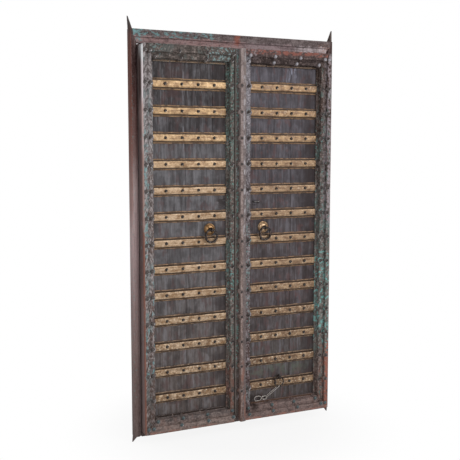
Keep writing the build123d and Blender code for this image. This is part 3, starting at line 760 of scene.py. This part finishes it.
for node, group in boardGroups.items():
    board = copyNode(node)
    if group == "left_hanging":
        startEdit(board, "EDGE")
        pick(board, "edges", atCorner)
        bpy.ops.mesh.bevel(offset=boardSet["corner"], segments=boardSet["cornerSteps"], affect="EDGES")
        endEdit()
    board.data.materials.clear()
    dress = [carvedLooks[group + part] for part in ("", "_edge", "_wall")]
    for look in dress:
        board.data.materials.append(look)
    # faces turned away from the front take the darker copy, painted shade on the side walls
    for face in board.data.polygons:
        face.material_index = 0 if abs(face.normal.y) > boardSet["facing"] else 2
    applied(board, "BEVEL", width=carvedSets[group].get("wear", boardSet["wear"]), segments=2,
            limit_method="ANGLE", angle_limit=radians(boardSet["sharp"]), material=1)
    smoothed(board, boardSet["sharp"])
    seat(board, node + "_carved", dress, [node])
for node, look in frameLooks.items():
    timberPiece = copyNode(node)
    startEdit(timberPiece, "EDGE")
    pick(timberPiece, "edges", wornArris)
    bpy.ops.mesh.bevel(offset=boardSet["frameWear"], segments=2, affect="EDGES", clamp_overlap=True)
    endEdit()
    smoothed(timberPiece, boardSet["sharp"])
    seat(timberPiece, node + "_worn", [look], [node])
for node, slot in slotOf.items():
    if slot == "plank_wood":
        nodes[node].data.materials.clear()
        nodes[node].data.materials.append(plankLooks[node.split("_")[0]])
print("boards dressed")

# Straps: thin sheet beaten over battens, with a groove and a bead along each edge
strapSet = {
    "half": [(0.0300, 0.0004), (0.0296, 0.0030), (0.0285, 0.0040), (0.0258, 0.0040), (0.0247, 0.0024),
             (0.0238, 0.0009), (0.0198, 0.0009), (0.0187, 0.0060), (0.0179, 0.0104), (0.0167, 0.0117),
             (0.0110, 0.0120), (0.0055, 0.0120)],
    "cuts": 53, "wave": 0.0052, "waveSize": 0.11, "dent": 0.0034, "dentSize": 0.035, "dentLevel": 0.45,
    "foot": 0.001, "long": 0.1, "sharp": 50}


def strapSheet(node):
    low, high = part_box(node)
    middle = (low.z + high.z) / 2
    rising = [(-across, rise) for across, rise in strapSet["half"]]
    falling = [(across, rise) for across, rise in reversed(strapSet["half"])]
    profile = [(high.y - rise, middle + across) for across, rise in rising + falling]
    bpy.ops.mesh.primitive_circle_add(vertices=3, radius=0.01)
    sheet = bpy.context.object
    startEdit(sheet, "VERT")
    pick(sheet, "verts", lambda vertex: vertex.index == 2)
    bpy.ops.mesh.delete(type="VERT")
    work = bmesh.from_edit_mesh(sheet.data)
    for vertex, x in zip(work.verts, (low.x, high.x)):
        vertex.co = (x, profile[0][0], profile[0][1])
    bmesh.update_edit_mesh(sheet.data)
    bpy.ops.mesh.select_all(action="SELECT")
    for (lastY, lastZ), (nextY, nextZ) in zip(profile, profile[1:]):
        drawn((0, nextY - lastY, nextZ - lastZ))
    pick(sheet, "edges", lambda edge: abs(ends(edge)[0].x - ends(edge)[1].x) > strapSet["long"])
    bpy.ops.mesh.subdivide(number_cuts=strapSet["cuts"])
    endEdit()
    return sheet


def cloud(name, size):
    pattern = bpy.data.textures.new(name, "CLOUDS")
    pattern.noise_scale = size
    return pattern


waveCloud = cloud("strap_wave", strapSet["waveSize"])
dentCloud = cloud("strap_dents", strapSet["dentSize"])
strapModels = {side: strapSheet(f"{side}_strap_01") for side in sides}
for node in strapNames:
    side = node.split("_")[0]
    sheet = copied(strapModels[side])
    low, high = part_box(node)
    sheet.location.z = low.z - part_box(f"{side}_strap_01")[0].z
    settled(sheet)
    roughened(sheet, waveCloud, strapSet["wave"], direction="Z")
    roughened(sheet, dentCloud, strapSet["dent"], strapSet["dentLevel"], "Y")
    startEdit(sheet, "EDGE")
    pick(sheet, "edges", lambda edge: edge.is_boundary)
    drawn((0, strapSet["foot"], 0))
    bpy.ops.transform.resize(value=(1, 0, 1), center_override=(0, high.y, 0))
    faceOut()
    smoothed(sheet, strapSet["sharp"])
    seat(sheet, node + "_sheet", [strapLook], [node])
for sheet in strapModels.values():
    bpy.data.objects.remove(sheet)
print("straps beaten")

# Nails and studs: low domes, one of each, copied to every head of the CAD nodes
headSet = {"nail": {"segments": 8, "radius": 0.0088, "height": 0.0052},
           "stud": {"segments": 10, "radius": 0.0112, "height": 0.0085},
           "rings": 8, "cut": 0.0001, "wide": 0.016, "twist": 0.4, "spread": (0.92, 1.05), "lean": 0.7,
           "sharp": 60}


def domeHead(setting):
    # half a ball pressed low, facing the front, with its rise kept as an attribute
    bpy.ops.mesh.primitive_uv_sphere_add(segments=setting["segments"], ring_count=headSet["rings"],
                                         radius=setting["radius"])
    dome = bpy.context.object
    startEdit(dome)
    bpy.ops.mesh.bisect(plane_co=(0, 0, headSet["cut"]), plane_no=(0, 0, 1), clear_inner=True,
                        use_fill=True)
    bpy.ops.mesh.select_all(action="SELECT")
    bpy.ops.transform.resize(value=(1, 1, setting["height"] / setting["radius"]))
    bpy.ops.mesh.select_all(action="SELECT")
    bpy.ops.transform.rotate(value=radians(-90), orient_axis="X", center_override=(0, 0, 0))
    endEdit()
    depth = [vertex.co.y for vertex in dome.data.vertices]
    rise = dome.data.attributes.new("rise", "FLOAT", "POINT")
    top = max(depth, key=abs)
    rise.data.foreach_set("value", [value / top for value in depth])
    if top > 0:
        dome.data.transform(Matrix.Rotation(radians(180), 4, "X"))
    # slant grows towards the lower right; the looks place painted glints and a painted lit side by it
    slant = dome.data.attributes.new("slant", "FLOAT", "POINT")
    share = headSet["lean"] / setting["radius"]
    across = [(vertex.co.x - vertex.co.z) * share for vertex in dome.data.vertices]
    slant.data.foreach_set("value", across)
    smoothed(dome, headSet["sharp"])
    return dome


def islandBoxes(node):
    # middle and size of each loose solid in a CAD node
    piece = copyNode(node)
    startEdit(piece)
    bpy.ops.mesh.separate(type="LOOSE")
    endEdit()
    parts = list(bpy.context.selected_objects)
    found = []
    for part in parts:
        points = [vertex.co for vertex in part.data.vertices]
        low = Vector([min(point[i] for point in points) for i in range(3)])
        high = Vector([max(point[i] for point in points) for i in range(3)])
        found.append((low, high))
        bpy.data.objects.remove(part)
    return sorted(found, key=lambda pair: tuple(pair[0]))


headModels = {kind: domeHead(headSet[kind]) for kind in ("nail", "stud")}
for side in sides:
    heads = {"nail": [], "stud": []}
    for low, high in islandBoxes(f"{side}_nails"):
        kind = "stud" if high.x - low.x > headSet["wide"] else "nail"
        head = copied(headModels[kind])
        head.location = ((low.x + high.x) / 2, high.y, (low.z + high.z) / 2)
        head.rotation_euler.y = random.uniform(-headSet["twist"], headSet["twist"])
        head.scale = [random.uniform(*headSet["spread"]), 1, random.uniform(*headSet["spread"])]
        heads[kind].append(head)
    for kind, look in (("nail", nailLook), ("stud", studsLook)):
        group = joined(heads[kind])
        settled(group)
        seat(group, f"{side}_{kind}_heads", [look], [f"{side}_nails"])
for model in headModels.values():
    bpy.data.objects.remove(model)
print("nails and studs set")

# Ring pulls
pullSet = {
    "rings": [(1.0, 0.0), (1.0, 0.0016), (0.95, 0.0030), (0.86, 0.0030), (0.83, 0.0044), (0.7, 0.0090),
              (0.5, 0.0124), (0.3, 0.0138), (0.16, 0.0140)],
    "brass": {"left": {"base": tone(150, 113, 74), "worn": tone(196, 155, 110)},
              "right": {"base": tone(174, 140, 104), "worn": tone(226, 192, 156)}},
    "sides": 40, "steps": 56, "round": 12, "wireShare": 1.1, "beatSize": 0.011, "beat": 0.0012,
    "tap": 0.0008, "bossSharp": 50, "sharp": 60, "eyeSteps": 28, "eyeRound": 10, "eyeWire": 0.003,
    "eyeNarrow": 0.0075, "collar": 0.002, "swells": (1.25, 1.15)}
beatCloud = cloud("forge_beats", pullSet["beatSize"])


def bossDome(node):
    low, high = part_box(node)
    radius = (high.x - low.x) / 2
    middle = ((low.x + high.x) / 2, high.y, (low.z + high.z) / 2)
    bpy.ops.mesh.primitive_circle_add(vertices=pullSet["sides"], radius=radius, fill_type="NGON",
                                      location=middle, rotation=(radians(90), 0, 0))
    dome = bpy.context.object
    settled(dome)
    startEdit(dome, "FACE")
    lastShare, lastRise = pullSet["rings"][0]
    for share, rise in pullSet["rings"][1:]:
        drawn((0, lastRise - rise, 0))
        bpy.ops.transform.resize(value=(share / lastShare, 1, share / lastShare), center_override=middle)
        lastShare, lastRise = share, rise
    faceOut()
    roughened(dome, beatCloud, pullSet["tap"])
    smoothed(dome, pullSet["bossSharp"])
    return dome


def forgedRing(node):
    low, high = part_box(node)
    wire = (high.y - low.y) / 2
    reach = (high.x - low.x) / 2 - wire
    bpy.ops.mesh.primitive_torus_add(major_radius=reach, minor_radius=wire * pullSet["wireShare"],
                                     location=(low + high) / 2, rotation=(radians(90), 0, 0),
                                     major_segments=pullSet["steps"], minor_segments=pullSet["round"])
    ring = bpy.context.object
    settled(ring)
    roughened(ring, beatCloud, pullSet["beat"])
    smoothed(ring, pullSet["sharp"])
    return ring


def eyeBolt(low, high):
    # a loop standing across the ring, on a shank that widens to its seat
    reach = (high.z - low.z) / 2
    wide = high.x - low.x
    wire = wide / 2 if wide < pullSet["eyeNarrow"] else pullSet["eyeWire"]
    middle = Vector(((low.x + high.x) / 2, low.y + reach, (low.z + high.z) / 2))
    bpy.ops.mesh.primitive_torus_add(major_radius=reach - wire, minor_radius=wire, location=middle,
                                     rotation=(0, radians(90), 0), major_segments=pullSet["eyeSteps"],
                                     minor_segments=pullSet["eyeRound"])
    loop = bpy.context.object
    settled(loop)
    foot = Vector((middle.x, middle.y + reach - wire, middle.z))
    bpy.ops.mesh.primitive_circle_add(vertices=pullSet["eyeRound"], radius=wire, fill_type="NGON",
                                      location=foot, rotation=(radians(90), 0, 0))
    shank = bpy.context.object
    settled(shank)
    startEdit(shank, "FACE")
    runs = (pullSet["collar"], high.y - foot.y - pullSet["collar"])
    for run, swell in zip(runs, pullSet["swells"]):
        drawn((0, run, 0))
        bpy.ops.transform.resize(value=(swell, 1, swell), center_override=foot)
    faceOut()
    bolt = joined([loop, shank])
    roughened(bolt, beatCloud, pullSet["tap"])
    smoothed(bolt, pullSet["sharp"])
    return bolt


for side in sides:
    dome = bossDome(f"{side}_pull_boss")
    low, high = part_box(f"{side}_pull_boss")
    domeSet = dict(pullSet["brass"][side], centre=((low.x + high.x) / 2, low.y, (low.z + high.z) / 2),
                   reach=(high.x - low.x) / 2)
    seat(dome, f"{side}_pull_boss_dome", [bossLook(f"{side}_boss_brass", domeSet)], [f"{side}_pull_boss"])
    seat(forgedRing(f"{side}_pull_ring"), f"{side}_pull_ring_forged", [ringLook], [f"{side}_pull_ring"])
seat(eyeBolt(*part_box("left_pull_eye")), "left_pull_eye_bolt", [ringLook], ["left_pull_eye"])
rightBolts = joined([eyeBolt(low, high) for low, high in islandBoxes("right_eyes")])
seat(rightBolts, "right_eye_bolts", [ringLook], ["right_eyes"])
seat(forgedRing("chain_ring"), "chain_ring_forged", [ringLook], ["chain_ring"])
print("ring pulls hung")

# Latch staple and chain, bent from round bar
barSet = {"sides": 8, "merge": 0.00005, "sharp": 60}


def bentBar(start, turn, radius, moves):
    # a round bar drawn from its first end: straight runs and spun bends
    bpy.ops.mesh.primitive_circle_add(vertices=barSet["sides"], radius=radius, location=start,
                                      rotation=turn)
    bar = bpy.context.object
    settled(bar)
    startEdit(bar, "EDGE")
    for move in moves:
        if "run" in move:
            drawn(move["run"])
        else:
            bpy.ops.mesh.spin(steps=move["steps"], angle=-radians(move["angle"]), center=move["centre"],
                              axis=(0, 0, 1))
    bpy.ops.mesh.select_all(action="SELECT")
    bpy.ops.mesh.remove_doubles(threshold=barSet["merge"])
    bpy.ops.mesh.select_all(action="SELECT")
    bpy.ops.mesh.fill_holes(sides=0)
    faceOut()
    smoothed(bar, barSet["sharp"])
    return bar


# The staple
latchLow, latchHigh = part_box("right_latch_staple")
latchWire = (latchHigh.z - latchLow.z) / 2
latchBend = 2 * latchWire
latchLeft = latchLow.x + latchWire
latchRight = latchHigh.x - latchWire
latchZ = (latchLow.z + latchHigh.z) / 2
latchDeep = latchHigh.y - latchLow.y - latchWire - latchBend
latchTurn = {"angle": 90, "steps": 6}
latchMoves = [
    {"run": (0, -latchDeep, 0)},
    dict(latchTurn, centre=(latchLeft + latchBend, latchHigh.y - latchDeep, latchZ)),
    {"run": (latchRight - latchLeft - 2 * latchBend, 0, 0)},
    dict(latchTurn, centre=(latchRight - latchBend, latchHigh.y - latchDeep, latchZ)),
    {"run": (0, latchDeep, 0)},
]
staple = bentBar((latchLeft, latchHigh.y, latchZ), (radians(90), 0, 0), latchWire, latchMoves)
seat(staple, "right_latch_staple_bar", [latchLook], ["right_latch_staple"])

# The chain's long link and figure-eight hasp
linkSet = {"wire": 0.002, "half": 0.007, "rise": 0.0063, "lead": 0.0020, "bar": 0.0023,
           "small": {"long": 0.0152, "tall": 0.0088}, "large": {"long": 0.0212, "tall": 0.0132}}


def wireLoop(halfLong, halfTall, radius):
    # a closed loop with round ends, lying flat about the origin
    straight = halfLong - halfTall
    halfTurn = {"angle": 180, "steps": 12}
    moves = [
        {"run": (2 * straight, 0, 0)},
        dict(halfTurn, centre=(straight, 0, 0)),
        {"run": (-2 * straight, 0, 0)},
        dict(halfTurn, centre=(-straight, 0, 0)),
    ]
    return bentBar((-straight, -halfTall, 0), (0, radians(90), 0), radius, moves)


linkTop = jointPlace["chain_link_hinge"] + Vector((0, -linkSet["lead"], linkSet["rise"]))
linkFoot = jointPlace["chain_eight_hinge"]
linkAlong = linkTop - linkFoot
longLink = wireLoop(linkAlong.length / 2, linkSet["half"], linkSet["wire"])
alongX = linkAlong.normalized()
acrossZ = alongX.cross(Vector((0, 1, 0))).normalized()
sideY = acrossZ.cross(alongX)
linkTurn = Matrix((alongX, sideY, acrossZ)).transposed().to_4x4()
longLink.data.transform(Matrix.Translation((linkTop + linkFoot) / 2) @ linkTurn)
seat(longLink, "chain_long_link_wire", [wireLook], ["chain_long_link"])
eightLow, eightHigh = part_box("chain_eight_link")
eightMiddle = (eightLow + eightHigh) / 2
loops = []
for size, end in (("small", 1), ("large", -1)):
    bow = linkSet[size]
    loop = wireLoop(bow["long"], bow["tall"], linkSet["bar"])
    reach = bow["long"] + linkSet["bar"]
    centreX = eightHigh.x - reach if end > 0 else eightLow.x + reach
    stood = Matrix.Rotation(radians(90), 4, "X")
    loop.data.transform(Matrix.Translation((centreX, eightMiddle.y, eightMiddle.z)) @ stood)
    loops.append(loop)
eight = joined(loops)
seat(eight, "chain_eight_link_wire", [wireLook], ["chain_eight_link"])
print("latch and chain bent")

# Brass trim along the rails' inner edges
trimSet = {"thick": 0.0009, "tall": 0.0076, "edge": 0.0016, "breaks": (0.0, 0.23, 0.62, 1.0),
           "gap": 0.006, "cuts": 24, "lead": 0.010, "wave": 0.003, "long": 0.02, "sharp": 50}
for side in sides:
    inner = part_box(f"{side}_strap_01")
    for end, railNode in (("top", f"{side}_top_rail"), ("bottom", f"{side}_bottom_rail")):
        low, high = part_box(railNode)
        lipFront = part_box(f"{side}_hanging_plank")[0].y - trimSet["lead"]
        inwards = trimSet["edge"] + trimSet["tall"] / 2
        trimZ = low.z + inwards if end == "top" else high.z - inwards
        length = inner[1].x - inner[0].x
        strips = []
        for start, stop in zip(trimSet["breaks"], trimSet["breaks"][1:]):
            left = inner[0].x + length * start + trimSet["gap"] / 2
            right = inner[0].x + length * stop - trimSet["gap"] / 2
            size = (right - left, trimSet["thick"], trimSet["tall"])
            place = ((left + right) / 2, lipFront - trimSet["thick"] / 2, trimZ)
            bpy.ops.mesh.primitive_cube_add(size=1, location=place)
            strip = bpy.context.object
            strip.scale = size
            settled(strip)
            startEdit(strip, "EDGE")
            pick(strip, "edges", lambda edge: abs(ends(edge)[0].x - ends(edge)[1].x) > trimSet["long"])
            bpy.ops.mesh.subdivide(number_cuts=trimSet["cuts"])
            endEdit()
            roughened(strip, waveCloud, trimSet["wave"], direction="Z")
            strips.append(strip)
        trim = joined(strips)
        smoothed(trim, trimSet["sharp"])
        trim.name = f"{side}_{end}_trim"
        trim.data.materials.clear()
        trim.data.materials.append(trimLook if end == "top" else footTrimLooks[side])
        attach(trim, bodyOf[railNode])
print("trim laid")

# Studio: pale floor, white behind, soft light from the front and right
studioSet = {"world": 0.46, "floor": -0.0305, "floorSize": 14.0, "glow": (0.86, 1.0),
             "glowReach": (0.3, 1.0),
             "lights": [{"place": (2.3, -4.2, 2.9), "aim": (0, 0, 1.0), "size": 3.0, "power": 105.0},
                        {"place": (-2.8, -4.6, 2.4), "aim": (0, 0, 1.0), "size": 2.6, "power": 34.0}]}
bpy.ops.mesh.primitive_plane_add(size=studioSet["floorSize"], location=(0, 0, studioSet["floor"]))
floor = bpy.context.object
floor.name = "studio_floor"
floorLook, floorShader, floorPlace = newLook("floor_pale")
floorColour = mixed(noise(floorPlace, 0.6), tone(246, 246, 246), tone(250, 250, 250))
plug(floorShader, Base_Color=floorColour, Roughness=0.9)
floorReach = floorPlace.node("ShaderNodeVectorMath", {0: floorPlace}, "Value", operation="LENGTH")
floorTree = floorLook.node_tree
floorSeen = Sock(floorTree, floorTree.nodes.new("ShaderNodeLightPath").outputs["Is Camera Ray"])
paleGlow = floorPlace.node("ShaderNodeEmission", {"Color": (1, 1, 1, 1), "Strength": 1.0})
floorBody = Sock(floorTree, floorShader.outputs[0])
nearGlow, farGlow = studioSet["glow"]
floorGlow = step(floorReach, *studioSet["glowReach"]) * (farGlow - nearGlow) + nearGlow
floorMix = floorPlace.node("ShaderNodeMixShader", {0: floorGlow * floorSeen, 1: floorBody, 2: paleGlow})
floorTree.links.new(floorMix.socket, floorTree.nodes["Material Output"].inputs["Surface"])
floor.data.materials.append(floorLook)
world = bpy.data.worlds.new("studio")
bpy.context.scene.world = world
world.use_nodes = True
backdrop = world.node_tree.nodes["Background"]
seen = Sock(world.node_tree, world.node_tree.nodes.new("ShaderNodeLightPath").outputs["Is Camera Ray"])
backGlow = seen * (1.0 - studioSet["world"]) + studioSet["world"]
world.node_tree.links.new(backGlow.socket, backdrop.inputs["Strength"])
backdrop.inputs["Color"].default_value = (1, 1, 1, 1)
for setting in studioSet["lights"]:
    bpy.ops.object.light_add(type="AREA", location=setting["place"])
    lamp = bpy.context.object
    lamp.data.size = setting["size"]
    lamp.data.energy = setting["power"]
    aim = Vector(setting["aim"]) - Vector(setting["place"])
    lamp.rotation_euler = aim.to_track_quat("-Z", "Y").to_euler()
print("studio lit")
